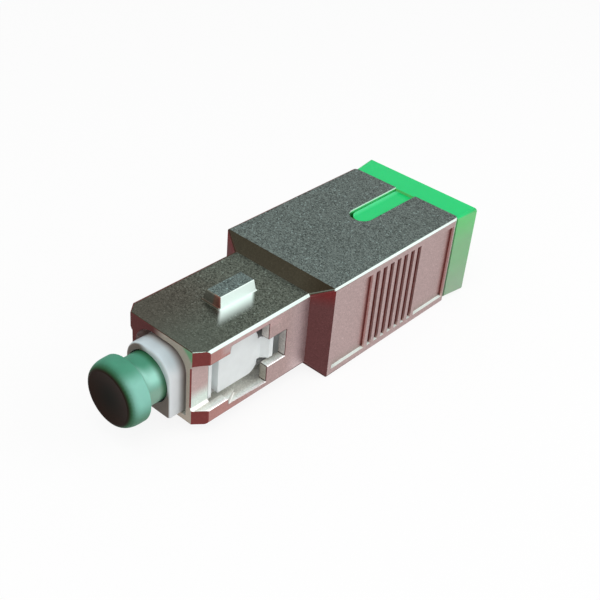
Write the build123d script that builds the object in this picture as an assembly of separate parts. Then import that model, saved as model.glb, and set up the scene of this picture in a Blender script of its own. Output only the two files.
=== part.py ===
from build123d import *
import math
import os

# Fibre attenuator with a push-pull plug at one end and a receptacle for the same plug at the other.
# Sizes are in millimetres. Stations along the fibre axis (names ending in _x) are measured from the
# front face of the metal nose, and grow towards the receptacle. The key side is up.

# Fits
running_gap = 0.01
seat_gap = 0.02
stop_gap = 0.05
catch_gap = 0.1

# Interface shared by every plug and receptacle of this family
ferrule_radius = 1.25
ferrule_compression = 0.5
grip_width = 9.0
grip_height = 7.4
grip_clearance = 0.05
grip_travel = 1.0
key_width = 2.2
key_clearance = 0.075
barrel_clearance = 0.1
hook_clearance = 0.1

# Metal housing, outside
nose_length = 12.7
shoulder_length = 1.0
block_length = 17.9
block_side_wall = 1.85
block_top_wall = 0.975
nose_edge_radius = 0.28
block_edge_radius = 0.2
block_corner_radius = 0.6
nose_corner_cut_x = 1.14
nose_corner_cut_y = 0.88

# Metal housing, nose
nose_wall = 0.8
nose_roof = 0.6
bar_length = 1.9
bar_wall = 0.5
bar_lead = 0.1
opening_corner_radius = 2.0
pocket_depth = 1.0
pocket_half_height = 2.3
pocket_radius = 0.3
window_narrow_length = 1.4
window_wide_length = 4.5
window_half_height = 3.0
tail_clearance = 0.3
ramp_length = 1.8
ramp_height = 0.45

# Metal housing, key on the nose
key_start_x = 5.45
key_length = 4.25
key_height = 1.02
key_side_draft = 0.3
key_front_draft = 0.25
key_foot_radius = 0.2

# Metal housing, receptacle
receptacle_floor_inset = 0.8
keyway_length = 7.9

# Metal housing, finger grip on the block's sides
panel_depth = 0.32
panel_front_margin = 0.5
panel_rear_margin = 0.65
panel_edge_margin = 0.725
rib_count = 8
rib_start_margin = 5.06
rib_pitch = 1.005
rib_width = 0.45

# Plug frame
frame_stand = 1.42
frame_nose_gap = 0.4
frame_roof_gap = 0.3
frame_floor_gap = 0.05
frame_side_gap = 0.25
frame_bore_radius = 2.35
frame_web = 1.0
frame_web_hole_radius = 1.5
frame_corner_radius = 2.1
frame_latch_root = 1.4
frame_lower_radius = 0.3
frame_front_radius = 0.28
catch_length = 0.35
catch_pocket = 0.75
latch_block_length = 4.5
latch_block_half_height = 2.2
latch_block_radius = 1.0
frame_slot_margin = 1.35
frame_slot_half_height = 2.45
frame_tail_margin = 0.3
snap_arm_length = 1.35
snap_arm_half_height = 1.1
snap_arm_thickness = 0.95
snap_ear_rise = 0.55
snap_ear_land = 0.45

# Ferrule, flange and fibre
ferrule_stand = 0.78
ferrule_grip_length = 6.1
ferrule_tip_radius = 0.85
ferrule_tip_taper = 0.9
fibre_radius = 0.0625
fibre_glue = 0.0075
polish_angle = 8.0
flange_gap = 0.05
flange_length = 2.0
flange_boss_radius = 1.75
flange_boss_length = 1.6
flange_notch_width = 0.7
flange_notch_depth = 0.5
flange_notch_count = 4

# Spring
spring_room = 3.3
spring_wire_radius = 0.2
spring_turns = 4.5
spring_wall_gap = 0.1

# Sleeve and sleeve holder
sleeve_length = 11.4
sleeve_wall = 0.34
sleeve_slot = 0.45
sleeve_gap = 0.05
sleeve_end_gap = 0.1
ferrule_clearance = 0.2
holder_flange_length = 1.4
holder_spigot_length = 1.5
holder_lip_length = 0.8

# Latch hooks
hook_plate_thickness = 2.0
hook_plate_radius = 0.35
barrel_lip = 0.5
hook_thickness = 0.8
hook_tooth_flat = 0.2
hook_tooth_slope = 0.45
hook_lead = 0.6
hook_ear_length = 1.8

# Dust cap on the ferrule
cap_neck_gap = 0.15
cap_bore_gap = 0.05
cap_tip_gap = 0.5
cap_tube_gap = 1.18
cap_neck_stand = 0.98
cap_flare_length = 1.1
cap_rim_length = 1.9
cap_rim_radius = 2.95
cap_rim_rounding = 1.25
cap_rear_rounding = 0.12
cap_face_radius = 2.3
cap_dish_depth = 0.2

# Dust plug in the receptacle
plug_head_length = 2.7
plug_head_top_inset = 0.02
plug_head_bottom_inset = 0.12
plug_head_side_inset = 0.1
plug_head_side_flare = 0.3
plug_head_height_flare = 0.1
plug_head_radius = 0.3
plug_head_wall = 1.0
plug_wall = 0.5
plug_keyway_gap = 0.6
plug_corner_radius = 0.3
plug_rib_gap = 0.03
plug_rib_top_inset = 0.4
plug_hook_gap = 0.3

# How far a cut runs past the face that it opens
past = 1.0

# Housing places and half sizes
shoulder_end_x = nose_length + shoulder_length
housing_rear_x = shoulder_end_x + block_length
receptacle_floor_x = shoulder_end_x + receptacle_floor_inset
keyway_end_x = housing_rear_x - keyway_length
keyway_width = key_width + 2 * key_clearance
key_end_x = key_start_x + key_length
nose_half_width = grip_width / 2
nose_half_height = grip_height / 2
cavity_half_width = nose_half_width + grip_clearance
cavity_half_height = nose_half_height + grip_clearance
block_half_width = cavity_half_width + block_side_wall
block_half_height = cavity_half_height + block_top_wall
panel_half_height = block_half_height - panel_edge_margin
bore_half_width = nose_half_width - nose_wall
bore_half_height = nose_half_height - nose_roof
pocket_y = nose_half_width - pocket_depth
opening_half_width = pocket_y - bar_wall

# Plug frame places and half sizes
frame_front_x = -frame_stand
frame_half_width = opening_half_width - frame_nose_gap
frame_top_z = bore_half_height - frame_roof_gap
frame_bottom_z = frame_floor_gap - bore_half_height
frame_side_y = bore_half_width - frame_side_gap
frame_core_y = frame_half_width - frame_latch_root
catch_x = bar_length + catch_gap
catch_end_x = catch_x + catch_length
latch_block_x = catch_end_x + catch_pocket
latch_block_end_x = latch_block_x + latch_block_length
snap_arm_end_x = latch_block_end_x + snap_arm_length
frame_slot_end_x = snap_arm_end_x + frame_slot_margin
frame_tail_x = frame_slot_end_x + frame_tail_margin

# Windows of the nose, round the plug frame's latch
window_wide_x = bar_length + window_narrow_length
window_tail_x = window_wide_x + window_wide_length
window_end_x = snap_arm_end_x + grip_travel + stop_gap
tail_half_height = snap_arm_half_height + tail_clearance

# Core places, from the receptacle's floor forwards
hook_plate_x = receptacle_floor_x + catch_gap
hook_plate_end_x = hook_plate_x + hook_plate_thickness
frame_rear_x = hook_plate_x - holder_flange_length
spring_seat_x = frame_rear_x - holder_spigot_length
sleeve_front_x = spring_seat_x + holder_lip_length
sleeve_end_x = sleeve_front_x + sleeve_length
flange_end_x = spring_seat_x - spring_room
flange_x = flange_end_x - flange_length
frame_web_end_x = flange_x - seat_gap
frame_web_x = frame_web_end_x - frame_web
ferrule_front_x = frame_front_x - ferrule_stand
ferrule_rear_x = sleeve_front_x + ferrule_grip_length

# Radii on the fibre axis
flange_radius = frame_bore_radius - flange_gap
sleeve_inner_radius = ferrule_radius + running_gap
sleeve_outer_radius = sleeve_inner_radius + sleeve_wall
sleeve_bore_radius = sleeve_outer_radius + sleeve_gap
lip_radius = ferrule_radius + ferrule_clearance
barrel_radius = frame_bore_radius - barrel_clearance
barrel_bottom_x = sleeve_end_x + sleeve_end_gap
barrel_end_x = barrel_bottom_x + barrel_lip

# Hooks, set to catch behind the ridge of a mated plug whose nose stands at mated_nose_x
mated_nose_x = ferrule_rear_x - ferrule_front_x - ferrule_compression
hook_inner_y = pocket_y + seat_gap + hook_clearance / 2
hook_outer_y = hook_inner_y + hook_thickness
hook_tip_y = frame_half_width + hook_clearance
hook_half_height = pocket_half_height - hook_clearance
hook_ear_half_height = window_half_height - hook_clearance
hook_tooth_x = mated_nose_x + catch_end_x + stop_gap
hook_end_x = mated_nose_x + latch_block_x + hook_lead

# Dust cap and dust plug
cap_neck_radius = frame_bore_radius - cap_neck_gap
cap_end_x = frame_web_x - cap_tube_gap
cap_neck_start_x = frame_front_x - cap_neck_stand
cap_rim_rear_x = cap_neck_start_x - cap_flare_length
cap_rim_front_x = cap_rim_rear_x - cap_rim_length
plug_front_x = keyway_end_x + plug_keyway_gap
plug_notch_end_x = hook_end_x + grip_travel + plug_hook_gap
plug_head_x = housing_rear_x + seat_gap
plug_rear_x = plug_head_x + plug_head_length

# The part stands on the block's lower face, with its origin under the middle of its length
to_row = Location((-(cap_rim_front_x + plug_rear_x) / 2, 0, block_half_height))
both_sides = (1, -1)


def across(x, z=0):
    """The plane square to the fibre axis at a place along it."""
    return Plane(origin=(x, 0, z), x_dir=(0, 1, 0), z_dir=(1, 0, 0))


def box(x, y, z):
    """A box between the given low and high places on each axis."""
    size = [abs(high - low) for low, high in (x, y, z)]
    middle = [(low + high) / 2 for low, high in (x, y, z)]
    return Location(middle) * Box(*size)


def bar(start_x, end_x, half_y, half_z):
    """A box centred on the fibre axis."""
    return box((start_x, end_x), (-half_y, half_y), (-half_z, half_z))


def rod(start_x, end_x, radius):
    """A cylinder on the fibre axis."""
    return extrude(across(start_x) * Circle(radius), end_x - start_x)


def rounded_bar(start_x, end_x, half_y, half_z, radius):
    """A box on the fibre axis with rounded long edges."""
    return extrude(across(start_x) * RectangleRounded(2 * half_y, 2 * half_z, radius), end_x - start_x)


def plan_prism(points, low_z, high_z):
    """A prism on an outline given in plan, as (x, y) points."""
    return extrude(Plane.XY.offset(low_z) * make_face(Polyline(*points, close=True)), high_z - low_z)


def side_plate(points_face, near_y, far_y):
    """A prism on an outline given in side view, as a face of (x, z) in the XZ plane."""
    face = Plane(origin=(0, near_y, 0), x_dir=(1, 0, 0), z_dir=(0, -1, 0)) * points_face
    return extrude(face, near_y - far_y)


def mirrored(shape):
    """The shape and its mirror image across the middle plane."""
    return [shape, mirror(shape, about=Plane.XZ)]


def housing_blank():
    """Nose, sloped shoulder and block, with rounded long edges and rounded upright edges at the rear."""
    nose_section = RectangleRounded(grip_width, grip_height, nose_edge_radius)
    block_section = RectangleRounded(2 * block_half_width, 2 * block_half_height, block_edge_radius)
    nose = extrude(across(0) * nose_section, nose_length)
    shoulder = loft([across(nose_length) * nose_section, across(shoulder_end_x) * block_section])
    block = extrude(across(shoulder_end_x) * block_section, block_length)
    middle_x = (shoulder_end_x + housing_rear_x) / 2
    plan = Pos(middle_x, 0) * Rectangle(block_length, 2 * block_half_width)
    plan = fillet(plan.vertices().sort_by(Axis.X)[-2:], block_corner_radius)
    block &= extrude(Plane.XY.offset(-block_half_height) * plan, 2 * block_half_height)
    slope = nose_corner_cut_y / nose_corner_cut_x
    corner = plan_prism(
        [
            (-past, nose_half_width - nose_corner_cut_y - past * slope),
            (nose_corner_cut_x, nose_half_width),
            (nose_corner_cut_x, nose_half_width + past),
            (-past, nose_half_width + past),
        ],
        -nose_half_height - past,
        nose_half_height + past,
    )
    return nose + shoulder + block - mirrored(corner)


def nose_key():
    """The key on top of the nose, with sloped sides and front."""
    top_start_x = key_start_x + key_front_draft
    foot_outline = Pos((key_start_x + key_end_x) / 2, 0) * Rectangle(key_length, key_width)
    top_outline = Pos((top_start_x + key_end_x) / 2, 0) * Rectangle(
        key_end_x - top_start_x, key_width - 2 * key_side_draft
    )
    foot = Plane.XY.offset(nose_half_height) * foot_outline
    top = Plane.XY.offset(nose_half_height + key_height) * top_outline
    return loft([foot, top]) + extrude(foot, -nose_edge_radius)


def rounded_foot(body):
    """Round the corner where the key stands on the nose."""
    foot = body.edges().filter_by_position(Axis.Z, nose_half_height - seat_gap, nose_half_height + seat_gap)
    foot = foot.filter_by_position(Axis.Y, -key_width / 2 - seat_gap, key_width / 2 + seat_gap)
    foot = foot.filter_by_position(Axis.X, key_start_x - seat_gap, key_end_x + seat_gap)
    return fillet(foot, key_foot_radius)


def keyed_outline(start_x, end_x, radius):
    """A strip seen in plan, with a round front end centred on start_x."""
    strip = Pos((start_x + end_x) / 2, 0) * Rectangle(end_x - start_x, 2 * radius)
    return strip + Pos(start_x, 0) * Circle(radius)


def housing_hollow():
    """Everything taken out along the fibre axis: front opening, nose bore and receptacle."""
    opening = bar(-past, bar_length + past, opening_half_width, bore_half_height)
    opening = fillet(opening.edges().filter_by(Axis.X).group_by(Axis.Z)[-1], opening_corner_radius)
    bore = bar(bar_length, receptacle_floor_x + past, bore_half_width, bore_half_height)
    receptacle = bar(receptacle_floor_x, housing_rear_x + past, cavity_half_width, cavity_half_height)
    slot_start = keyway_end_x + keyway_width / 2
    slot = keyed_outline(slot_start, housing_rear_x + past, keyway_width / 2)
    keyway = extrude(Plane.XY.offset(cavity_half_height - past) * slot, block_top_wall + 2 * past)
    return opening + bore + receptacle + keyway


def nose_windows():
    """Openings in the nose's sides: hook pocket with its lead, narrow part, wide part and tail."""
    outside = nose_half_width + past
    inside = bore_half_width - past
    section = RectangleRounded(outside - pocket_y, 2 * pocket_half_height, pocket_radius)
    pocket = extrude(across(-past) * Pos((pocket_y + outside) / 2, 0) * section, bar_length + past)
    pocket += plan_prism(
        [(-past, pocket_y - bar_lead - past), (bar_lead, pocket_y), (bar_lead, outside), (-past, outside)],
        pocket_radius - pocket_half_height,
        pocket_half_height - pocket_radius,
    )
    narrow = box((bar_length, window_wide_x), (inside, outside), (-pocket_half_height, pocket_half_height))
    wide = box((window_wide_x, window_tail_x), (inside, outside), (-window_half_height, window_half_height))
    tail = box((window_tail_x, window_end_x), (inside, outside), (-tail_half_height, tail_half_height))
    return mirrored(pocket + narrow + wide + tail)


def release_ramps():
    """Wedges at the corners of the window that lift a hook's ears when the grip is pulled back."""
    reach = ramp_length * nose_wall / pocket_depth
    outline = [
        (window_wide_x, nose_half_width),
        (window_wide_x, bore_half_width),
        (window_wide_x + reach, bore_half_width),
    ]
    ramps = []
    for side in both_sides:
        low = side * window_half_height
        high = side * (window_half_height - ramp_height)
        ramps += mirrored(plan_prism(outline, min(low, high), max(low, high)))
    return ramps


def finger_grip():
    """Recessed panel on each side of the block, less the ribs left standing in it."""
    panel_x = shoulder_end_x + panel_front_margin
    panel_end_x = housing_rear_x - panel_rear_margin
    depth_y = (block_half_width - panel_depth, block_half_width + past)
    height = (-panel_half_height, panel_half_height)
    panel = box((panel_x, panel_end_x), depth_y, height)
    for index in range(rib_count):
        rib_x = shoulder_end_x + rib_start_margin + index * rib_pitch
        panel -= box((rib_x, rib_x + rib_width), depth_y, height)
    return mirrored(panel)


def metal_housing():
    body = rounded_foot(housing_blank() + nose_key())
    return body - housing_hollow() - nose_windows() + release_ramps() - finger_grip()


def latch_side():
    """Catch ridge, latch block and snap arm on one side of the plug frame."""
    height = (-latch_block_half_height, latch_block_half_height)
    ridge = box((catch_x, catch_end_x), (frame_core_y, frame_side_y), height)
    middle_x = (latch_block_x + latch_block_end_x) / 2
    outline = Pos(middle_x, 0) * Rectangle(latch_block_length, 2 * latch_block_half_height)
    rear_corners = outline.vertices().sort_by(Axis.X)[-2:]
    block = side_plate(fillet(rear_corners, latch_block_radius), frame_side_y, frame_core_y)
    arm = box(
        (latch_block_end_x - latch_block_radius, snap_arm_end_x),
        (frame_side_y - snap_arm_thickness, frame_side_y),
        (-snap_arm_half_height, snap_arm_half_height),
    )
    ear_start_x = snap_arm_end_x - snap_ear_land - snap_ear_rise
    ear = plan_prism(
        [
            (ear_start_x, frame_side_y - seat_gap),
            (snap_arm_end_x - snap_ear_land, frame_side_y + snap_ear_rise),
            (snap_arm_end_x, frame_side_y + snap_ear_rise),
            (snap_arm_end_x, frame_side_y - seat_gap),
        ],
        -snap_arm_half_height,
        snap_arm_half_height,
    )
    return ridge, block, arm + ear


def plug_frame():
    height = (frame_bottom_z, frame_top_z)
    body = box((frame_front_x, frame_rear_x), (-frame_half_width, frame_half_width), height)
    body = fillet(body.edges().filter_by(Axis.X).group_by(Axis.Z)[-1], frame_corner_radius)
    body = fillet(body.edges().filter_by(Axis.X).group_by(Axis.Z)[0], frame_lower_radius)
    body = fillet(body.faces().sort_by(Axis.X)[0].edges(), frame_front_radius)
    body += box((frame_tail_x, frame_rear_x), (-frame_side_y, frame_side_y), height)
    body -= mirrored(box(
        (latch_block_end_x, frame_slot_end_x),
        (frame_core_y, frame_side_y + past),
        (-frame_slot_half_height, frame_slot_half_height),
    ))
    ridge, block, arm = latch_side()
    for piece in (ridge, block, arm):
        body += mirrored(piece)
    web = rod(frame_web_x, frame_web_end_x, frame_bore_radius)
    web -= rod(frame_web_x - past, frame_web_end_x + past, frame_web_hole_radius)
    bore = rod(frame_front_x - past, frame_rear_x + past, frame_bore_radius)
    return body - (bore - web)


def polished(blank):
    """Trim a rod on the fibre axis to the two angle-polished end faces."""
    lean = math.tan(math.radians(polish_angle))
    reach = 2 * ferrule_radius
    outline = [
        (ferrule_front_x + lean * reach, reach),
        (ferrule_front_x - lean * reach, -reach),
        (ferrule_rear_x - lean * reach, -reach),
        (ferrule_rear_x + lean * reach, reach),
    ]
    face = make_face(Polyline(*outline, close=True))
    keep = side_plate(face, reach, -reach)
    return blank & keep


def ferrule():
    lean = ferrule_tip_radius * math.tan(math.radians(polish_angle))
    front = ferrule_front_x - lean
    rear = ferrule_rear_x + lean
    outline = Polyline(
        (front, 0),
        (front, ferrule_tip_radius),
        (front + ferrule_tip_taper, ferrule_radius),
        (rear - ferrule_tip_taper, ferrule_radius),
        (rear, ferrule_tip_radius),
        (rear, 0),
        close=True,
    )
    body = revolve(make_face(outline), Axis.X)
    return polished(body) - rod(front - past, rear + past, fibre_radius + fibre_glue)


def attenuating_fibre():
    return polished(rod(ferrule_front_x - past, ferrule_rear_x + past, fibre_radius))


def ferrule_flange():
    collar = rod(flange_x, flange_end_x, flange_radius)
    collar = chamfer(collar.edges().filter_by(GeomType.CIRCLE), flange_gap)
    body = collar + rod(flange_end_x - seat_gap, flange_end_x + flange_boss_length, flange_boss_radius)
    body -= rod(flange_x - past, flange_end_x + flange_boss_length + past, ferrule_radius)
    notch = box(
        (flange_x - past, flange_end_x + seat_gap),
        (flange_radius - flange_notch_depth, flange_radius + past),
        (-flange_notch_width / 2, flange_notch_width / 2),
    )
    for index in range(flange_notch_count):
        body -= notch.rotate(Axis.X, index * 360 / flange_notch_count)
    return body


def ferrule_spring():
    coil_radius = frame_bore_radius - spring_wall_gap - spring_wire_radius
    coil_start_x = flange_end_x + seat_gap + spring_wire_radius
    coil_length = spring_seat_x - seat_gap - spring_wire_radius - coil_start_x
    path = Helix(coil_length / spring_turns, coil_length, coil_radius)
    start = Plane(origin=path @ 0, z_dir=path % 0)
    coil = sweep(start * Circle(spring_wire_radius), path, is_frenet=True)
    return Location((coil_start_x, 0, 0)) * coil.rotate(Axis.Y, 90)


def sleeve_holder():
    """Ring that closes the frame: a spigot in its bore, and a flange against its rear face."""
    spigot = rod(spring_seat_x, frame_rear_x + seat_gap, frame_bore_radius - running_gap)
    flange = box(
        (frame_rear_x, hook_plate_x),
        (-frame_side_y, frame_side_y),
        (frame_bottom_z, frame_top_z),
    )
    inner = rod(spring_seat_x - past, sleeve_front_x, lip_radius)
    seat = rod(sleeve_front_x - sleeve_end_gap, hook_plate_x + past, sleeve_bore_radius)
    return spigot + flange - inner - seat


def latch_hook():
    """One hook: a flat arm with ears at its end and a tooth that faces the fibre axis."""
    width = (hook_inner_y, hook_outer_y)
    height = (-hook_half_height, hook_half_height)
    arm = box((hook_plate_end_x - seat_gap, hook_end_x), width, height)
    ears = box(
        (hook_end_x - hook_ear_length, hook_end_x),
        width,
        (-hook_ear_half_height, hook_ear_half_height),
    )
    tooth = plan_prism(
        [
            (hook_tooth_x, hook_inner_y + seat_gap),
            (hook_tooth_x, hook_tip_y),
            (hook_tooth_x + hook_tooth_flat, hook_tip_y),
            (hook_tooth_x + hook_tooth_flat + hook_tooth_slope, hook_inner_y + seat_gap),
        ],
        *height,
    )
    return arm + ears + tooth


def latch_hook_body():
    plate = rounded_bar(hook_plate_x, hook_plate_end_x, grip_width / 2, grip_height / 2, hook_plate_radius)
    barrel = rod(hook_plate_end_x - seat_gap, barrel_end_x, barrel_radius)
    barrel = chamfer(barrel.edges().filter_by(GeomType.CIRCLE).sort_by(Axis.X)[-1], barrel_lip / 2)
    body = plate + barrel + mirrored(latch_hook())
    body -= rod(hook_plate_x - past, barrel_bottom_x, sleeve_bore_radius)
    return body - rod(sleeve_end_x, barrel_end_x + past, lip_radius)


def split_sleeve():
    tube = rod(sleeve_front_x, sleeve_end_x, sleeve_outer_radius)
    tube -= rod(sleeve_front_x - past, sleeve_end_x + past, sleeve_inner_radius)
    slot = box(
        (sleeve_front_x - past, sleeve_end_x + past),
        (-sleeve_slot / 2, sleeve_slot / 2),
        (-sleeve_outer_radius - past, 0),
    )
    return tube - slot


def ferrule_dust_cap():
    """Round cap: dished face, round-fronted rim, a hollow curve down to the neck, and a tube inside."""
    rim_x = cap_rim_front_x + cap_rim_rounding
    rear_x = cap_rim_rear_x - cap_rear_rounding
    rear_radius = cap_rim_radius - cap_rear_rounding
    bore_x = ferrule_front_x - cap_tip_gap
    bore_radius = ferrule_radius + cap_bore_gap
    half_dish = cap_face_radius / 2
    half_dish_depth = cap_dish_depth * (1 - (half_dish / cap_face_radius) ** 2)
    tube = Polyline(
        (cap_neck_start_x, cap_neck_radius),
        (cap_end_x, cap_neck_radius),
        (cap_end_x, bore_radius),
        (bore_x, bore_radius),
        (bore_x, 0),
        (cap_rim_front_x + cap_dish_depth, 0),
    )
    outline = [
        ThreePointArc(
            (cap_rim_front_x + cap_dish_depth, 0),
            (cap_rim_front_x + half_dish_depth, half_dish),
            (cap_rim_front_x, cap_face_radius),
        ),
        EllipticalCenterArc(
            (rim_x, cap_face_radius),
            cap_rim_rounding,
            cap_rim_radius - cap_face_radius,
            start_angle=90,
            arc_size=90,
        ),
        Line((rim_x, cap_rim_radius), (rear_x, cap_rim_radius)),
        TangentArc((rear_x, cap_rim_radius), (cap_rim_rear_x, rear_radius), tangent=(1, 0)),
        TangentArc((cap_neck_start_x, cap_neck_radius), (cap_rim_rear_x, rear_radius), tangent=(-1, 0)),
        *tube.edges(),
    ]
    return revolve(make_face(outline), Axis.X)


def receptacle_dust_plug():
    """Plug with a flared head behind the block, a hollow body in the receptacle and a keyway rib."""
    top_z = block_half_height - plug_head_top_inset
    bottom_z = plug_head_bottom_inset - block_half_height
    front_width = 2 * (block_half_width - plug_head_side_inset)
    head_height = top_z - bottom_z
    middle_z = (top_z + bottom_z) / 2
    head_width = front_width + 2 * plug_head_side_flare
    front_height = head_height - 2 * plug_head_height_flare
    head = loft([
        across(plug_head_x, middle_z) * RectangleRounded(front_width, front_height, plug_head_radius),
        across(plug_rear_x, middle_z) * RectangleRounded(head_width, head_height, plug_head_radius),
    ])
    body_end_x = plug_head_x + seat_gap
    hollow_half_width = nose_half_width - plug_wall
    hollow_half_height = nose_half_height - plug_wall
    body = rounded_bar(plug_front_x, body_end_x, nose_half_width, nose_half_height, plug_corner_radius)
    hollow = bar(plug_front_x - past, plug_rear_x - plug_head_wall, hollow_half_width, hollow_half_height)
    notch_half_height = hook_ear_half_height + hook_clearance
    notches = bar(plug_front_x - past, plug_notch_end_x, nose_half_width + past, notch_half_height)
    rib_radius = keyway_width / 2 - plug_rib_gap
    rib_face = keyed_outline(plug_front_x + rib_radius, body_end_x, rib_radius)
    rib_height = block_half_height - plug_rib_top_inset - hollow_half_height
    rib = extrude(Plane.XY.offset(hollow_half_height) * rib_face, rib_height)
    return head + body + rib - hollow - notches


pieces = {
    "metal_housing": metal_housing,
    "plug_frame": plug_frame,
    "sleeve_holder": sleeve_holder,
    "latch_hook_body": latch_hook_body,
    "split_sleeve": split_sleeve,
    "ferrule": ferrule,
    "ferrule_flange": ferrule_flange,
    "attenuating_fibre": attenuating_fibre,
    "ferrule_spring": ferrule_spring,
    "ferrule_dust_cap": ferrule_dust_cap,
    "receptacle_dust_plug": receptacle_dust_plug,
}

os.makedirs("parts", exist_ok=True)
for name, make in pieces.items():
    export_step(to_row * make(), f"parts/{name}.step")
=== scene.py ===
import math

import bpy
from mathutils import Matrix, Vector


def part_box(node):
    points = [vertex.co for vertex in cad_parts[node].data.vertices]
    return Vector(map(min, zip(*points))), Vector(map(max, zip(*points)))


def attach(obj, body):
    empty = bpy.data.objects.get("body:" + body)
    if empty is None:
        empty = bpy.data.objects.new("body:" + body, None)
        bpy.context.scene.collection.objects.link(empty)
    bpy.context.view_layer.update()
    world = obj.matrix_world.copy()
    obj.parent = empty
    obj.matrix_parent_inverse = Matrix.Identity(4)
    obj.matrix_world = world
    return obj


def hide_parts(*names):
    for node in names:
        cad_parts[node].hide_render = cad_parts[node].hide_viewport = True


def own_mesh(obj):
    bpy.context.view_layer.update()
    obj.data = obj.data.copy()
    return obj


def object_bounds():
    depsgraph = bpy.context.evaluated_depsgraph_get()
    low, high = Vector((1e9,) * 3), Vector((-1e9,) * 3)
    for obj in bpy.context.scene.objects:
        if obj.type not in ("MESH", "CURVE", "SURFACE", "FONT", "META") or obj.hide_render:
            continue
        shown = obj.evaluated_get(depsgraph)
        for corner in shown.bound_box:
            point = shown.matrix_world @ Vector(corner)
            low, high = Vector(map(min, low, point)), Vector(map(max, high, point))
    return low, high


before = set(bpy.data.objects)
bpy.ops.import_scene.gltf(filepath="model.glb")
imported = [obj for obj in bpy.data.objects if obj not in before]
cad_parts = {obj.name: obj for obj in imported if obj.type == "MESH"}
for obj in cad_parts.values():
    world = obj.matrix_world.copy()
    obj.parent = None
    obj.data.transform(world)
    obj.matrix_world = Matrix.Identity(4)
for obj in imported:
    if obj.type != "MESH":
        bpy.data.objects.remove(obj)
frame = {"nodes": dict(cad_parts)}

cad_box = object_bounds()
MM = 0.001

# Places read from the frame, in metres
housing_low, housing_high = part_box("metal_housing")
nose_front_x = housing_low.x
axis_z = sum(corner.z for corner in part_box("ferrule")) / 2
cap_front_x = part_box("ferrule_dust_cap")[0].x

# Places on the housing in millimetres: along from the nose's front, aside and up from the fibre axis
NOSE_SIDE = 4.5
NOSE_TOP = 3.7
NOSE_END = 12.7
BAR_END = 1.9
POCKET_SIDE = 3.5
KEY_FRONT = 5.45
KEY_REAR = 9.7
BLOCK_FRONT = 13.7
PANEL_DEPTH = 0.32
SLOT_LENGTH = 7.9
SLOT_SIDE = 1.175
block_side = housing_high.y / MM
block_top = (housing_high.z - axis_z) / MM
panel_floor = block_side - PANEL_DEPTH
slot_front = (housing_high.x - nose_front_x) / MM - SLOT_LENGTH

# Edges that are rounded, and how closely the meshes are cleaned first
EDGE_LENGTH = 0.4 * MM
EDGE_TURN = math.radians(70)
WELD_REACH = 0.0005 * MM
FLAT_TURN = math.radians(0.5)

# Studio: the floor, how much of it is plain white, and the level of the surroundings
FLOOR_SIZE = 2.0
FLOOR_GAP = 0.01 * MM
FLOOR_WHITE = 0.88
WORLD_LEVEL = 0.6

# The camera, placed from the nose's front face and the fibre axis
CAMERA_OFFSET = Vector((-43.6966, -48.8802, 53.2112)) * MM
CAMERA_RIGHT = Vector((0.66707, -0.74093, 0.07766))
CAMERA_DOWN = Vector((-0.38466, -0.43182, -0.81583))
CAMERA_FORWARD = Vector((0.63801, 0.51434, -0.57306))
CAMERA_LENS = 62.38
CAMERA_SENSOR = 36.0


def tone(red, green, blue):
    """A colour as a screen shows it, 0 to 255, as the linear colour that a shader takes."""
    shares = [channel / 255 for channel in (red, green, blue)]
    return tuple(s / 12.92 if s <= 0.04045 else ((s + 0.055) / 1.055) ** 2.4 for s in shares) + (1,)


def put(tree, socket, value):
    """Feed a node's socket from another socket or with a plain value."""
    if isinstance(value, bpy.types.NodeSocket):
        tree.links.new(value, socket)
    else:
        socket.default_value = value


def math_node(tree, operation, *values):
    """The result of one maths operation on sockets and numbers, as a node in the given tree."""
    node = tree.nodes.new("ShaderNodeMath")
    node.operation = operation
    for socket, value in zip(node.inputs, values):
        put(tree, socket, value)
    return node.outputs[0]


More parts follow.
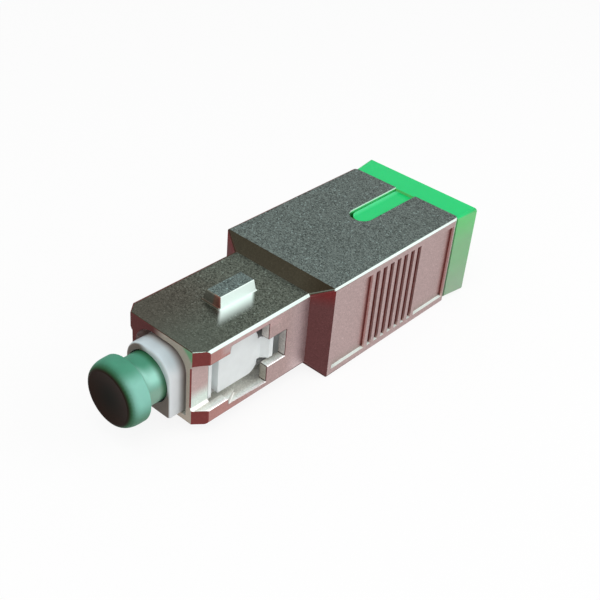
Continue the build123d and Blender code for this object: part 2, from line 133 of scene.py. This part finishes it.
class Finish:
    """A node material in the making, with places in millimetres from the nose's front and the axis."""

    def __init__(self, name, **constants):
        self.material = bpy.data.materials.new(name)
        self.material.use_nodes = True
        self.tree = self.material.node_tree
        self.shader = self.tree.nodes["Principled BSDF"]
        for socket, value in constants.items():
            self.shader.inputs[socket.replace("_", " ")].default_value = value
        self.place = self.add("ShaderNodeTexCoord").outputs["Object"]
        split = self.add("ShaderNodeSeparateXYZ", Vector=self.place)
        self.along = self.math("MULTIPLY_ADD", split.outputs["X"], 1 / MM, -nose_front_x / MM)
        self.across = self.math("MULTIPLY", split.outputs["Y"], 1 / MM)
        self.up = self.math("MULTIPLY_ADD", split.outputs["Z"], 1 / MM, -axis_z / MM)
        geometry = self.add("ShaderNodeNewGeometry")
        facing = self.add("ShaderNodeSeparateXYZ", Vector=geometry.outputs["Normal"])
        self.facing_x, self.facing_y, self.facing_z = facing.outputs

    def add(self, kind, settings=None, **inputs):
        """A node with its settings, and its sockets fed by name, with _ for each space."""
        node = self.tree.nodes.new(kind)
        for name, value in (settings or {}).items():
            setattr(node, name, value)
        for name, value in inputs.items():
            put(self.tree, node.inputs[name.replace("_", " ")], value)
        return node

    def math(self, operation, *values):
        """The result of one maths operation on sockets and numbers."""
        return math_node(self.tree, operation, *values)

    def size(self, value):
        """The value without its sign."""
        return self.math("ABSOLUTE", value)

    def both(self, first, *others):
        """The product of shares: 1 only where each of them is 1."""
        for other in others:
            first = self.math("MULTIPLY", first, other)
        return first

    def either(self, first, *others):
        """The largest of shares: 1 where any of them is 1."""
        for other in others:
            first = self.math("MAXIMUM", first, other)
        return first

    def rise(self, value, start, end):
        """A share that goes softly from 0 at start to 1 at end; start may be the larger."""
        node = self.add("ShaderNodeMapRange", {"interpolation_type": "SMOOTHSTEP"}, Value=value)
        node.inputs["From Min"].default_value = min(start, end)
        node.inputs["From Max"].default_value = max(start, end)
        node.inputs["To Min"].default_value = 0.0 if start < end else 1.0
        node.inputs["To Max"].default_value = 1.0 if start < end else 0.0
        return node.outputs["Result"]

    def mix(self, share, first, second, blend="MIX"):
        """The first colour where the share is 0 and the second where it is 1."""
        node = self.add("ShaderNodeMix", {"data_type": "RGBA", "blend_type": blend}, Factor=share)
        colours = [socket for socket in node.inputs if socket.type == "RGBA"]
        put(self.tree, colours[0], first)
        put(self.tree, colours[1], second)
        return next(socket for socket in node.outputs if socket.type == "RGBA")

    def shade(self, value, start, end, first, second):
        """The first colour up to start, the second from end on, and a soft change between the two."""
        return self.mix(self.rise(value, start, end), first, second)

    def noise(self, grain, detail=2.0, roughness=0.5):
        """Soft noise with a grain of the given size in millimetres."""
        inputs = {"Scale": 1 / (grain * MM), "Detail": detail, "Roughness": roughness}
        return self.add("ShaderNodeTexNoise", Vector=self.place, **inputs).outputs["Fac"]

    def specks(self, grain):
        """A random share for each grain of the given size in millimetres."""
        cells = self.add("ShaderNodeTexVoronoi", Vector=self.place, Scale=1 / (grain * MM))
        return self.math("MULTIPLY", cells.outputs["Color"], 1.0)

    def vary(self, colour, share, spread):
        """The colour made darker where the share is 0 and lighter where it is 1, by the given spread."""
        low = (1 - spread, 1 - spread, 1 - spread, 1)
        high = (1 + spread, 1 + spread, 1 + spread, 1)
        return self.mix(1.0, colour, self.mix(share, low, high), "MULTIPLY")

    def bump(self, height, depth, strength):
        """Small relief of the given depth in millimetres."""
        node = self.add("ShaderNodeBump", Height=height, Distance=depth * MM, Strength=strength)
        self.tree.links.new(node.outputs["Normal"], self.shader.inputs["Normal"])

    def drive(self, socket, value):
        """Feed one of the shader's sockets."""
        self.tree.links.new(value, self.shader.inputs[socket])


class Nickel(Finish):
    """The housing's plating, with the places that its painted reflections, grain and painted highlights
    have in common.
    """

    def __init__(self):
        super().__init__("satin_nickel", Specular_Tint=(0.55, 0.5, 0.5, 1))
        self.aside = self.size(self.across)
        self.upper = self.rise(self.up, 1.2, 2.4)
        self.rising = self.rise(self.facing_z, 0.12, 0.26)
        self.before_shoulder = self.rise(self.along, KEY_REAR + 1.3, KEY_REAR + 0.8)
        self.inside = self.both(
            self.rise(self.aside, NOSE_SIDE - 0.02, NOSE_SIDE - 0.08),
            self.rise(self.up, NOSE_TOP - 0.02, NOSE_TOP - 0.1),
        )
        self.in_panel = self.rise(self.aside, panel_floor - 0.28, panel_floor - 0.13)
        self.slot_wall = self.both(
            self.rise(self.along, slot_front - 1.7, slot_front - 0.7),
            self.rise(self.aside, SLOT_SIDE + 0.225, SLOT_SIDE + 0.125),
            self.rise(self.up, block_top - 0.925, block_top - 0.825),
            self.rise(self.facing_z, 0.95, 0.8),
        )
        self.nose_edge = self.both(
            self.rise(self.up, NOSE_TOP - 0.3, NOSE_TOP - 0.2),
            self.rise(self.up, NOSE_TOP + 0.25, NOSE_TOP + 0.15),
            self.rise(self.along, NOSE_END, NOSE_END - 0.1),
        )
        self.block_edge = self.both(
            self.rise(self.up, block_top - 0.275, block_top - 0.175),
            self.rise(self.along, BLOCK_FRONT - 0.1, BLOCK_FRONT),
        )
        # A painted reflection of the key's bright near side on the nose's top
        self.glow = self.painted_key_reflection()

    def painted_key_reflection(self):
        """The slanted patch on the nose's top where a reflection of the key's bright near side is painted.
        """
        slant = 1.1
        lean = 0.975
        middle = (KEY_FRONT + KEY_REAR) / 2 + lean
        slanted = self.math("MULTIPLY_ADD", self.across, -slant, self.along)
        return self.both(
            self.rise(self.size(self.math("SUBTRACT", slanted, middle)), 2.25, 1.7),
            self.rise(self.across, -2.8, -1.05),
            self.rise(self.across, -0.7, -0.8),
            self.rise(self.up, NOSE_TOP + 0.25, NOSE_TOP + 0.05),
            self.rise(self.facing_z, 0.2, 0.5),
        )

    def upward(self):
        """Painted reflections on faces that look up: nose, block, key, and the ledges of the windows and
        finger panels.
        """
        # Painted reflections on the tops: darker at the nose's front, lighter towards the block and on the
        # key
        nose = self.shade(self.across, 3.0, -3.0, tone(84, 83, 75), tone(90, 97, 88))
        nose = self.shade(self.along, 4.0, 10.5, nose, tone(93, 100, 91))
        top = self.shade(self.along, NOSE_END - 0.1, BLOCK_FRONT + 0.2, nose, tone(102, 113, 109))
        on_key = self.both(self.rise(self.up, NOSE_TOP + 0.6, NOSE_TOP + 0.9), self.before_shoulder)
        top = self.mix(on_key, top, tone(103, 117, 114))

        # Painted highlight on the ledges with painted shade at their inner foot, and a painted bright line
        # at their outer edge
        ledge = self.shade(self.aside, 3.75, 4.2, tone(224, 224, 217), tone(238, 243, 239))
        ledge = self.mix(self.in_panel, ledge, tone(240, 246, 240))
        lip = self.both(
            self.rise(self.aside, NOSE_SIDE - 0.26, NOSE_SIDE - 0.2),
            self.rise(self.aside, NOSE_SIDE + 0.2, NOSE_SIDE + 0.1),
        )
        ledge = self.mix(lip, ledge, tone(255, 255, 252))
        return self.mix(self.upper, ledge, top)

    def upright(self):
        """Painted reflections on the sides of the nose and the block, and a painted highlight in the
        pocket beside the front opening.
        """
        # Painted reflections: pinkish sides that grow lighter towards the rear, with a painted sheen along
        # the upper part of the nose's sides
        nose = self.shade(self.along, 2.0, 9.0, tone(188, 142, 136), tone(188, 164, 161))
        nose = self.shade(self.along, 9.8, 12.4, nose, tone(222, 200, 200))
        sheen_strip = self.both(
            self.rise(self.up, 2.4, 2.8),
            self.rise(self.along, 2.0, 3.0),
            self.rise(self.along, 10.5, 8.0),
        )
        nose = self.mix(sheen_strip, nose, tone(198, 170, 168))
        side = self.shade(self.along, NOSE_END, NOSE_END + 0.2, nose, tone(190, 168, 166))
        # The pocket is painted brighter towards its bottom, a painted highlight
        pocket = self.shade(self.up, -0.1, -1.5, tone(207, 184, 181), tone(230, 240, 234))
        in_pocket = self.both(
            self.rise(self.aside, POCKET_SIDE + 0.12, POCKET_SIDE + 0.04),
            self.rise(self.along, BAR_END + 0.3, BAR_END + 0.1),
        )
        return self.mix(in_pocket, side, pocket)

    def painted_edge_lines(self, colour):
        """The colour with painted highlights along the near edges and painted dark red reflections along
        the far edges.
        """
        near = self.shade(self.up, 2.2, 2.6, tone(255, 255, 252), tone(205, 232, 220))
        edge = self.shade(self.facing_y, -0.02, 0.04, near, tone(110, 52, 50))
        leaning = self.either(
            self.rise(self.facing_y, -0.22, -0.42),
            self.rise(self.facing_y, 0.04, 0.14),
        )
        off_key = self.either(
            self.rise(self.aside, 1.6, 2.0),
            self.rise(self.along, KEY_REAR + 0.8, KEY_REAR + 1.3),
        )
        colour = self.mix(self.both(self.rising, leaning, off_key), colour, edge)
        far_reflection_line = self.either(
            self.both(self.nose_edge, self.rise(self.across, NOSE_SIDE - 0.16, NOSE_SIDE - 0.1)),
            self.both(self.block_edge, self.rise(self.across, block_side - 0.18, block_side - 0.12)),
        )
        return self.mix(self.both(far_reflection_line, self.rising), colour, tone(150, 72, 70))

    def ends(self):
        """Painted reflections on faces that look along the axis: shoulder, corner cuts, rim, walls of
        windows and panels, key.
        """
        shoulder = self.shade(self.up, 2.4, 4.4, tone(98, 62, 62), tone(112, 46, 46))
        slope = self.shade(self.across, -2.5, -5.5, tone(62, 58, 47), tone(48, 42, 32))
        front = self.shade(self.facing_z, 0.4, 0.62, shoulder, slope)
        corner_cut = self.both(
            self.rise(self.size(self.facing_y), 0.55, 0.7),
            self.rise(self.along, BAR_END + 0.6, BAR_END + 0.1),
        )
        front = self.mix(corner_cut, front, tone(135, 71, 69))

        # The rim's painted reflections, with a painted green reflection of the cap near its upper near
        # corner
        rim = self.shade(self.across, 1.0, -0.5, tone(101, 63, 62), tone(184, 174, 162))
        near_corner = self.math("SUBTRACT", self.up, self.across)
        rim = self.shade(near_corner, 5.9, 6.5, rim, tone(130, 173, 138))
        # Walls of the windows and panels: painted shade low in the windows and deep in the finger panels
        window = self.shade(self.up, -1.5, -1.3, tone(182, 178, 168), tone(222, 217, 213))
        panel_step = panel_floor + 0.08, panel_floor + 0.18
        panel = self.shade(self.aside, *panel_step, tone(136, 76, 72), tone(222, 188, 184))
        wall = self.shade(self.along, NOSE_END + 0.3, NOSE_END + 0.5, window, panel)
        square = self.rise(self.facing_x, -0.93, -0.985)
        behind_rim = self.both(square, self.rise(self.along, 0.35, 0.6))
        front = self.mix(behind_rim, self.mix(square, front, rim), wall)

        # Painted reflections on faces that look back, lighter inside the nose
        rear = self.mix(self.inside, tone(150, 136, 134), tone(226, 232, 226))
        end = self.shade(self.facing_x, 0.2, 0.4, front, rear)
        return self.mix(self.on_key_front(), end, self.key_front())

    def on_key_front(self):
        """The place of the key's front end."""
        return self.both(
            self.rise(self.up, NOSE_TOP + 0.05, NOSE_TOP + 0.15),
            self.rise(self.along, KEY_FRONT + 0.75, KEY_FRONT + 0.55),
            self.rise(self.along, KEY_FRONT - 0.45, KEY_FRONT - 0.25),
        )

    def key_front(self):
        """The painted reflection on the key's front end, greyer on its far half."""
        colour = self.shade(self.across, 0.0, -0.35, tone(112, 114, 104), tone(134, 102, 88))
        return self.shade(self.across, -0.4, -0.7, colour, tone(136, 92, 82))

    def grained(self, colour, grain):
        """The colour with a fine grain and a few bright flecks, strongest on the faces that look up."""
        flat = self.rise(self.facing_z, 0.9, 0.97)
        flat_top = self.both(flat, self.upper, self.rise(self.glow, 0.5, 0.0))
        rearward = self.rise(self.along, 0.0, 7.0)
        strength = self.both(
            self.math("MULTIPLY_ADD", flat_top, 0.8, 0.2),
            self.math("MULTIPLY_ADD", rearward, 0.6, 0.4),
        )
        flecks = self.shade(self.specks(0.12), 0.8, 0.9, (1, 1, 1, 1), (1.7, 1.8, 1.85, 1))
        speckled = self.vary(self.vary(colour, grain, 0.04), self.specks(0.1), 0.75)
        return self.mix(strength, colour, self.mix(1.0, speckled, flecks, "MULTIPLY"))

    def glints(self):
        """Where a lamp is caught: key side, the top beside it, ledges, slot lip and near edges."""
        key_side = self.both(
            self.rise(self.up, NOSE_TOP + 0.02, NOSE_TOP + 0.06),
            self.rise(self.facing_y, -0.3, -0.6),
            self.before_shoulder,
            self.rise(self.size(self.facing_x), 0.5, 0.3),
        )
        panel_ledge = self.both(
            self.rise(self.facing_z, 0.3, 0.6),
            self.rise(self.up, -3.0, -3.3),
            self.in_panel,
        )
        slot_lip = self.both(self.slot_wall, self.rise(self.up, block_top - 0.185, block_top - 0.145))
        nose_line = self.both(
            self.nose_edge,
            self.rise(self.across, 0.24 - NOSE_SIDE, 0.18 - NOSE_SIDE),
            self.rise(self.along, 1.0, 1.2),
        )
        block_line = self.both(
            self.block_edge,
            self.rise(self.across, 0.18 - block_side, 0.14 - block_side),
        )
        near_line = self.both(self.either(nose_line, block_line), self.rising)
        return self.either(key_side, self.glow, panel_ledge, slot_lip, near_line)


def nickel_finish():
    """Satin nickel; each side of the housing has a painted reflection in its colour, with painted
    highlights.
    """
    f = Nickel()
    colour = f.painted_edge_lines(f.mix(f.rising, f.upright(), f.upward()))
    # Painted green reflection of the dust plug on the slot's wall, and painted dark red reflection on
    # faces that look down
    colour = f.mix(f.slot_wall, colour, tone(112, 206, 154))
    colour = f.shade(f.facing_z, -0.3, -0.9, colour, tone(116, 86, 84))
    colour = f.shade(f.size(f.facing_x), 0.3, 0.55, colour, f.ends())
    grain = f.noise(0.35, 3.0, 0.7)
    # Painted highlights: white and not metallic where the glints fall
    white = f.glints()
    f.drive("Base Color", f.mix(white, f.grained(colour, grain), tone(238, 255, 249)))
    f.drive("Metallic", f.math("SUBTRACT", 1.0, white))
    dull = f.math("MULTIPLY", f.inside, 0.3)
    f.drive("Roughness", f.math("ADD", f.math("MULTIPLY_ADD", grain, 0.16, 0.3), dull))
    f.bump(grain, 0.015, 0.25)
    return f.material


def frame_finish():
    """Moulded white plastic, a little milky, with painted shade on the end that looks forwards and in the
    gap behind the nose's rim.
    """
    f = Finish(
        "white_moulding",
        Roughness=0.4,
        Specular_IOR_Level=0.35,
        Subsurface_Weight=0.12,
        Subsurface_Scale=0.5 * MM,
        Subsurface_Radius=(1.0, 0.9, 0.85),
    )
    # Painted lighting: the top bluer than the sides, and lighter inside the nose
    outside = f.shade(f.facing_z, 0.1, 0.8, tone(220, 224, 226), tone(196, 210, 215))
    colour = f.shade(f.along, 0.0, 1.6, outside, tone(229, 234, 234))
    near_corner = f.math("SUBTRACT", f.up, f.across)
    # Painted shade on the forward end, darker away from its upper near corner, and in the gap behind the
    # nose's rim
    end = f.shade(near_corner, 1.4, 2.8, tone(92, 78, 68), tone(190, 196, 198))
    gap_shade = f.both(f.rise(f.along, -0.6, 0.25), f.rise(f.along, 0.45, 0.3))
    colour = f.mix(gap_shade, colour, tone(142, 134, 128))
    front = f.both(f.rise(f.facing_x, -0.55, -0.95), f.rise(f.along, 0.2, -0.4))
    colour = f.mix(front, colour, end)
    f.drive("Base Color", f.vary(colour, f.noise(1.2), 0.08))
    f.bump(f.noise(0.25), 0.004, 0.5)
    return f.material


def cap_finish():
    """Soft teal rubber, with painted shade on its front face and where its neck goes into the frame."""
    f = Finish(
        "teal_rubber",
        Roughness=0.5,
        Specular_IOR_Level=0.04,
        Subsurface_Weight=0.08,
        Subsurface_Scale=0.5 * MM,
        Subsurface_Radius=(0.3, 1.0, 0.7),
    )
    out = f.math("SQRT", f.math("ADD", f.math("POWER", f.across, 2.0), f.math("POWER", f.up, 2.0)))
    neck = f.rise(out, 2.75, 2.4)
    # Painted lighting: tones by which way each face looks, lighter on the neck's lower side
    colour = f.shade(f.facing_z, -0.6, 0.9, tone(90, 132, 110), tone(78, 146, 120))
    colour = f.mix(f.both(neck, f.rise(f.facing_z, 0.45, 0.1)), colour, tone(136, 172, 154))

    # A painted highlight band along its near side, and painted shade between its neck and the frame
    above_foot = f.mix(neck, f.rise(f.facing_z, -0.42, 0.3), f.rise(f.facing_z, 0.1, 0.6))
    highlight_band = f.both(above_foot, f.rise(f.facing_z, 0.98, 0.66), f.rise(f.facing_y, -0.1, -0.6))
    colour = f.mix(highlight_band, colour, f.mix(neck, tone(136, 196, 180), tone(164, 222, 206)))
    shaded = f.both(neck, f.rise(f.along, -2.1, -1.5))
    colour = f.mix(f.math("MULTIPLY", shaded, 0.8), colour, tone(44, 94, 58))

    # The front face and its turned edge, with painted shade that is darkest in its middle
    behind_face = f.math("ADD", f.along, (nose_front_x - cap_front_x) / MM)
    front = f.rise(behind_face, 1.5, 0.9)
    colour = f.mix(f.both(f.rise(f.facing_x, -0.15, -0.75), front), colour, tone(44, 84, 56))
    dark = f.shade(out, 0.2, 2.2, tone(14, 11, 5), tone(32, 19, 12))
    colour = f.mix(f.both(f.rise(f.facing_x, -0.6, -0.95), f.rise(out, 3.0, 2.3), front), colour, dark)
    f.drive("Base Color", f.vary(colour, f.noise(1.1, 3.0), 0.12))
    f.bump(f.noise(0.2), 0.004, 0.5)
    return f.material


def dust_plug_finish():
    """Bright green translucent plastic with painted lighting: upright sides paler and greyer towards the
    bottom, and a painted highlight along its rib.
    """
    f = Finish(
        "green_plastic",
        Roughness=0.36,
        Specular_IOR_Level=0.15,
        Subsurface_Weight=0.15,
        Subsurface_Scale=0.8 * MM,
        Subsurface_Radius=(0.2, 1.0, 0.45),
    )
    side = f.shade(f.up, -4.2, 0.5, tone(144, 172, 144), tone(128, 178, 132))
    side = f.shade(f.up, 1.0, 4.6, side, tone(106, 196, 120))
    colour = f.shade(f.facing_z, 0.2, 0.85, side, tone(24, 205, 116))
    rib_highlight = f.both(
        f.rise(f.facing_z, 0.8, 0.95),
        f.rise(f.up, 4.2, 4.3),
        f.rise(f.up, 4.5, 4.4),
        f.rise(f.across, 0.5, 1.2),
        f.rise(f.across, 1.6, 1.5),
    )
    colour = f.mix(rib_highlight, colour, tone(96, 226, 156))
    f.drive("Base Color", f.vary(colour, f.noise(1.5), 0.05))
    f.bump(f.noise(0.3), 0.003, 0.4)
    return f.material


def plain_finish(name, low, high, grain, roughness, metallic=0.0):
    """A moulded, ceramic or turned finish that varies a little over its surface."""
    f = Finish(name, Metallic=metallic)
    cloud = f.noise(grain, 3.0)
    f.drive("Base Color", f.mix(cloud, tone(*low), tone(*high)))
    f.drive("Roughness", f.math("MULTIPLY_ADD", cloud, 0.12, roughness - 0.06))
    f.bump(cloud, 0.01 * grain, 0.5)
    return f.material


def show_white(tree, white, lit, output, share):
    """Let camera, glossy and transmission rays see white by the given share, in place of the lit one."""
    seen = tree.nodes.new("ShaderNodeLightPath").outputs
    rays = math_node(tree, "MAXIMUM", seen["Is Camera Ray"], seen["Is Glossy Ray"])
    rays = math_node(tree, "MAXIMUM", rays, seen["Is Transmission Ray"])
    glow = tree.nodes.new(white)
    glow.inputs["Strength"].default_value = 1.0
    glow.inputs["Color"].default_value = (1, 1, 1, 1)
    blend = tree.nodes.new("ShaderNodeMixShader")
    tree.links.new(math_node(tree, "MULTIPLY", rays, share), blend.inputs["Fac"])
    tree.links.new(lit, blend.inputs[1])
    tree.links.new(glow.outputs[0], blend.inputs[2])
    tree.links.new(blend.outputs["Shader"], output)


def floor_finish():
    """Pale floor that shows as white and keeps part of the shadow."""
    material = bpy.data.materials.new("pale_floor")
    material.use_nodes = True
    nodes = material.node_tree.nodes
    shader = nodes["Principled BSDF"]
    shader.inputs["Base Color"].default_value = (0.9, 0.9, 0.9, 1)
    shader.inputs["Roughness"].default_value = 0.9
    shader.inputs["Specular IOR Level"].default_value = 0.1
    surface = nodes["Material Output"].inputs["Surface"]
    show_white(material.node_tree, "ShaderNodeEmission", shader.outputs["BSDF"], surface, FLOOR_WHITE)
    return material


def mark_edges(hollow, end):
    """Nodes that give long sharp edges a full bevel weight.

    Marked edges lie before the end, and outside a hollow given by its half width and half height.
    """
    group = bpy.data.node_groups.new("mark_edges", "GeometryNodeTree")
    for direction in ("INPUT", "OUTPUT"):
        group.interface.new_socket("Geometry", in_out=direction, socket_type="NodeSocketGeometry")
    nodes, links = group.nodes, group.links
    edge = nodes.new("GeometryNodeInputMeshEdgeVertices")
    length = nodes.new("ShaderNodeVectorMath")
    length.operation = "DISTANCE"
    links.new(edge.outputs["Position 1"], length.inputs[0])
    links.new(edge.outputs["Position 2"], length.inputs[1])
    turn = nodes.new("GeometryNodeInputMeshEdgeAngle")
    place = nodes.new("ShaderNodeSeparateXYZ")
    links.new(nodes.new("GeometryNodeInputPosition").outputs[0], place.inputs[0])

    across = math_node(group, "ABSOLUTE", place.outputs["Y"])
    up = math_node(group, "ABSOLUTE", math_node(group, "SUBTRACT", place.outputs["Z"], axis_z))
    outside = math_node(
        group,
        "MAXIMUM",
        math_node(group, "GREATER_THAN", across, hollow[0]),
        math_node(group, "GREATER_THAN", up, hollow[1]),
    )
    tests = (
        outside,
        math_node(group, "LESS_THAN", place.outputs["X"], end),
        math_node(group, "GREATER_THAN", turn.outputs["Unsigned Angle"], EDGE_TURN),
        math_node(group, "GREATER_THAN", length.outputs["Value"], EDGE_LENGTH),
    )
    marked = tests[0]
    for test in tests[1:]:
        marked = math_node(group, "MULTIPLY", marked, test)

    store = nodes.new("GeometryNodeStoreNamedAttribute")
    store.domain = "EDGE"
    store.inputs["Name"].default_value = "bevel_weight_edge"
    links.new(marked, store.inputs["Value"])
    links.new(nodes.new("NodeGroupInput").outputs[0], store.inputs["Geometry"])
    links.new(store.outputs["Geometry"], nodes.new("NodeGroupOutput").inputs[0])
    return group


def soften_edges(piece, width, clamp=True, hollow=(0.0, 0.0), end=1.0):
    """Round the piece's long sharp edges with modifiers, so that they catch the light."""
    weld = piece.modifiers.new("weld", "WELD")
    weld.merge_threshold = WELD_REACH
    flat = piece.modifiers.new("flat_faces", "DECIMATE")
    flat.decimate_type = "DISSOLVE"
    flat.angle_limit = FLAT_TURN
    piece.modifiers.new("marked_edges", "NODES").node_group = mark_edges(hollow, end)
    bevel = piece.modifiers.new("soft_edges", "BEVEL")
    bevel.width = width * MM
    bevel.segments = 2
    bevel.limit_method = "WEIGHT"
    bevel.use_clamp_overlap = clamp
    bevel.harden_normals = True


def dress_nodes():
    """Materials and edge rounds for the nodes of the frame."""
    nodes = frame["nodes"]
    finishes = {
        "metal_housing": nickel_finish(),
        "plug_frame": frame_finish(),
        "ferrule_dust_cap": cap_finish(),
        "receptacle_dust_plug": dust_plug_finish(),
    }

    # Inner pieces: name, darker and lighter tone, size of the clouds in millimetres, roughness, metallic
    inner = {
        "sleeve_holder": ("holder_moulding", (198, 200, 200), (214, 216, 216), 1.2, 0.42),
        "latch_hook_body": ("hook_moulding", (40, 44, 48), (52, 56, 60), 1.2, 0.45),
        "split_sleeve": ("sleeve_ceramic", (230, 228, 220), (240, 238, 231), 0.8, 0.2),
        "ferrule": ("ferrule_ceramic", (234, 234, 230), (243, 243, 240), 0.8, 0.16),
        "ferrule_flange": ("flange_metal", (166, 162, 152), (184, 180, 170), 0.5, 0.3, 1.0),
        "ferrule_spring": ("spring_steel", (174, 176, 180), (192, 194, 198), 0.4, 0.26, 1.0),
        "attenuating_fibre": ("fibre_glass", (206, 216, 220), (218, 226, 230), 0.3, 0.12),
    }
    finishes.update({piece: plain_finish(*values) for piece, values in inner.items()})
    for piece, material in finishes.items():
        nodes[piece].data.materials.clear()
        nodes[piece].data.materials.append(material)

    # Rounds on the housing stay off its inner walls and its block, where they would break faces
    hollow = (NOSE_SIDE - 0.6) * MM, (NOSE_TOP - 0.4) * MM
    end = nose_front_x + (NOSE_END - 0.2) * MM
    soften_edges(nodes["metal_housing"], 0.1, clamp=False, hollow=hollow, end=end)
    soften_edges(nodes["plug_frame"], 0.08)
    soften_edges(nodes["receptacle_dust_plug"], 0.08)
    soften_edges(nodes["latch_hook_body"], 0.06)


def add_coil():
    """The spring, as a copy of its node with its own mesh, carried by the core."""
    node = frame["nodes"]["ferrule_spring"]
    coil = bpy.data.objects.new("spring_coil", node.data.copy())
    bpy.context.scene.collection.objects.link(coil)
    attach(coil, "core")
    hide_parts("ferrule_spring")
    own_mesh(coil)


def lay_floor():
    """A wide floor just under the part."""
    place = (0, 0, cad_box[0].z - FLOOR_GAP)
    bpy.ops.mesh.primitive_plane_add(size=FLOOR_SIZE, location=place)
    floor = bpy.context.active_object
    floor.name = "floor"
    floor.data.materials.append(floor_finish())


def light_scene():
    """White surroundings and two soft lamps."""
    scene = bpy.context.scene
    world = bpy.data.worlds.new("studio")
    scene.world = world
    world.use_nodes = True
    nodes = world.node_tree.nodes
    light = nodes["Background"]
    light.inputs["Color"].default_value = (1, 1, 1, 1)
    light.inputs["Strength"].default_value = WORLD_LEVEL
    surface = nodes["World Output"].inputs["Surface"]
    show_white(world.node_tree, "ShaderNodeBackground", light.outputs["Background"], surface, 1.0)

    # Name, direction from the part, distance and size in metres, watts
    lamps = (
        ("key", (0.55, -0.66, 0.52), 0.16, 0.10, 0.07),
        ("fill", (-0.45, -0.2, 0.87), 0.2, 0.16, 0.16),
    )
    centre = (cad_box[0] + cad_box[1]) / 2
    for name, direction, distance, size, watts in lamps:
        lamp = bpy.data.lights.new(name, "AREA")
        lamp.shape = "SQUARE"
        lamp.size = size
        lamp.energy = watts
        holder = bpy.data.objects.new(name, lamp)
        away = Vector(direction).normalized()
        holder.location = centre + away * distance
        holder.rotation_euler = away.to_track_quat("Z", "Y").to_euler()
        scene.collection.objects.link(holder)


def place_camera():
    """The camera, where the photo was taken from."""
    scene = bpy.context.scene
    camera = bpy.data.cameras.new("camera")
    camera.lens = CAMERA_LENS
    camera.sensor_width = CAMERA_SENSOR
    camera.clip_start = 1 * MM
    camera.clip_end = 10.0
    eye = bpy.data.objects.new("camera", camera)
    turn = Matrix((CAMERA_RIGHT, -CAMERA_DOWN, -CAMERA_FORWARD)).transposed().to_4x4()
    origin = Vector((nose_front_x, 0, axis_z)) + CAMERA_OFFSET
    eye.matrix_world = Matrix.Translation(origin) @ turn
    scene.collection.objects.link(eye)
    scene.camera = eye


bpy.context.scene.view_settings.view_transform = "Standard"
lay_floor()
light_scene()
place_camera()
dress_nodes()
add_coil()
